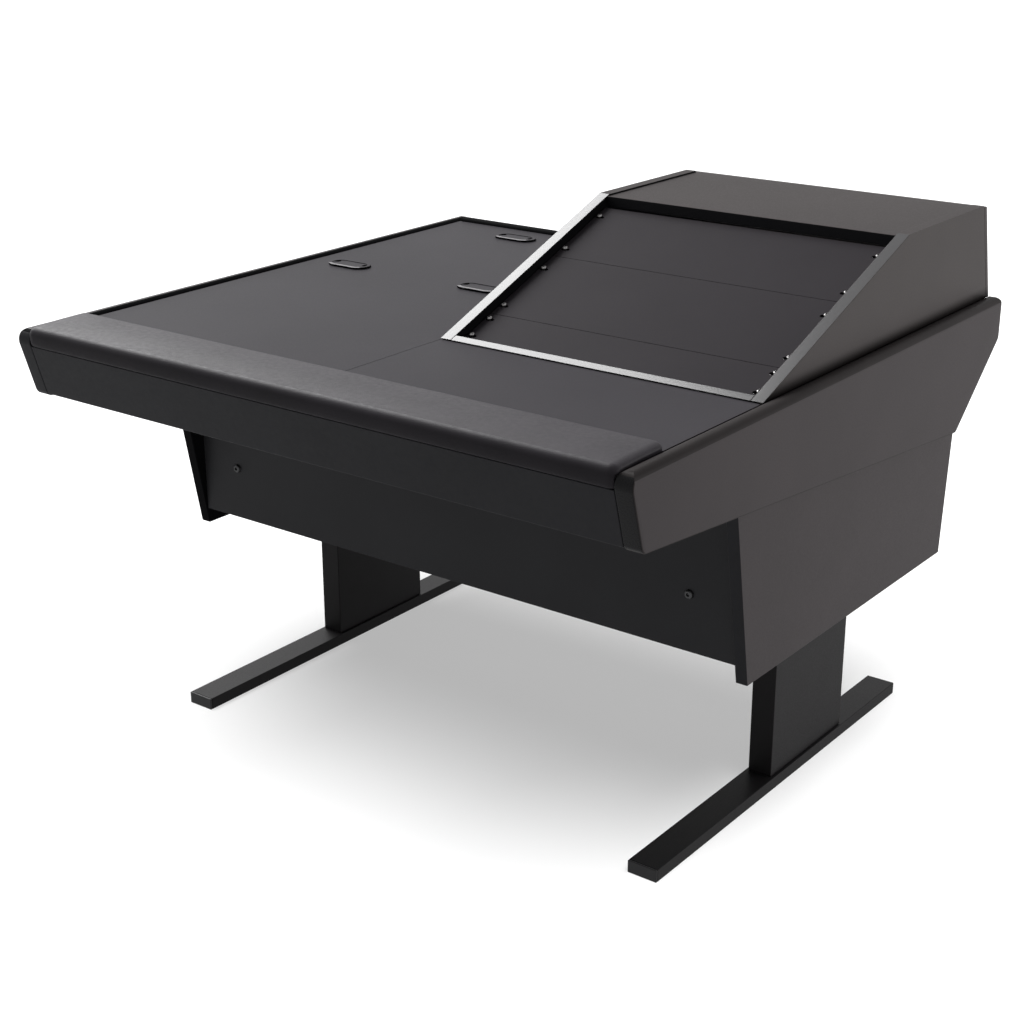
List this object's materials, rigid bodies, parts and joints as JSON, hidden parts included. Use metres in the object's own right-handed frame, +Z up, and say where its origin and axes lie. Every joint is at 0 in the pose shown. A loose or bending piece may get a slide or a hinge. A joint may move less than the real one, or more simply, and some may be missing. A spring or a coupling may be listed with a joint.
{
  "type": "studio desk",
  "caption": "Studio desk with padded armrest, end wings, a worktop with cable grommets and a sloping rack turret, on two T-shaped legs.",
  "frame": {"origin": "on the floor, under the middle of the desk's width and depth", "axes": "+Z up, +X to the user's right, +Y to the back; the armrest faces -Y"},
  "size_m": [1.067, 1.03, 0.8058],
  "materials": {
    "wing": "dark textured laminate, satin",
    "lower_side": "dark textured laminate, satin",
    "rear_edge": "black edge strip",
    "laminate": "charcoal laminate, low sheen",
    "vinyl_pad": "grained black vinyl over foam",
    "fascia": "grained black vinyl on board",
    "timber": "dark board, hidden",
    "slope_trim": "satin grey metal angle",
    "turret_side": "dark laminate with satin grey slope edge",
    "turret_shell": "dark laminate",
    "blank_panel": "smooth dark grey powder coat",
    "rack_rail": "black powder coat",
    "screw": "bright plated steel",
    "modesty": "dark textured laminate, satin",
    "grommet_plastic": "charcoal moulded plastic, low sheen",
    "black_plastic": "black moulded plastic",
    "black_steel": "black powder coat"
  },
  "bodies": {
    "desk": {"armrest_board": "timber", "armrest_fascia": "fascia", "armrest_pad": "vinyl_pad", "foot_bar_left": "black_steel", "foot_bar_right": "black_steel", "foot_cap_left_front": "black_plastic", "foot_cap_left_rear": "black_plastic", "foot_cap_right_front": "black_plastic", "foot_cap_right_rear": "black_plastic", "front_rail": "timber", "grommet_liner_left": "grommet_plastic", "grommet_liner_middle": "grommet_plastic", "grommet_liner_rear": "grommet_plastic", "leg_column_left": "black_steel", "leg_column_right": "black_steel", "leg_head_left": "black_steel", "leg_head_right": "black_steel", "lower_side_left": "lower_side", "lower_side_right": "lower_side", "modesty_bolt_left": "screw", "modesty_bolt_right": "screw", "modesty_bracket_left": "black_steel", "modesty_bracket_right": "black_steel", "modesty_panel": "modesty", "panel_cleat_left": "timber", "panel_cleat_right": "timber", "rack_panel_lower": "blank_panel", "rack_panel_middle": "blank_panel", "rack_panel_upper": "blank_panel", "rack_rail_left": "rack_rail", "rack_rail_right": "rack_rail", "rack_screw_left_1": "screw", "rack_screw_left_2": "screw", "rack_screw_left_3": "screw", "rack_screw_left_4": "screw", "rack_screw_left_5": "screw", "rack_screw_left_6": "screw", "rack_screw_right_1": "screw", "rack_screw_right_2": "screw", "rack_screw_right_3": "screw", "rack_screw_right_4": "screw", "rack_screw_right_5": "screw", "rack_screw_right_6": "screw", "rear_rail": "timber", "rear_stretcher": "modesty", "side_rail_left": "timber", "side_rail_right": "timber", "turret_back": "turret_shell", "turret_front_trim": "slope_trim", "turret_side_left": "turret_side", "turret_side_right": "turret_side", "turret_top": "turret_shell", "wing_left": "wing", "wing_right": "wing", "worktop_left": "laminate", "worktop_rear_edge": "rear_edge", "worktop_right": "laminate"},
    "grommet_lid_left": {"grommet_lid_left": "grommet_plastic"},
    "grommet_lid_middle": {"grommet_lid_middle": "grommet_plastic"},
    "grommet_lid_rear": {"grommet_lid_rear": "grommet_plastic"}
  },
  "joints": [
    {"name": "lift_lid_left", "type": "slide", "parent": "desk", "child": "grommet_lid_left", "axis": [0, 0, 1], "range_m": [0, 0.03]},
    {"name": "lift_lid_middle", "type": "slide", "parent": "desk", "child": "grommet_lid_middle", "axis": [0, 0, 1], "range_m": [0, 0.03]},
    {"name": "lift_lid_rear", "type": "slide", "parent": "desk", "child": "grommet_lid_rear", "axis": [0, 0, 1], "range_m": [0, 0.03]}
  ]
}
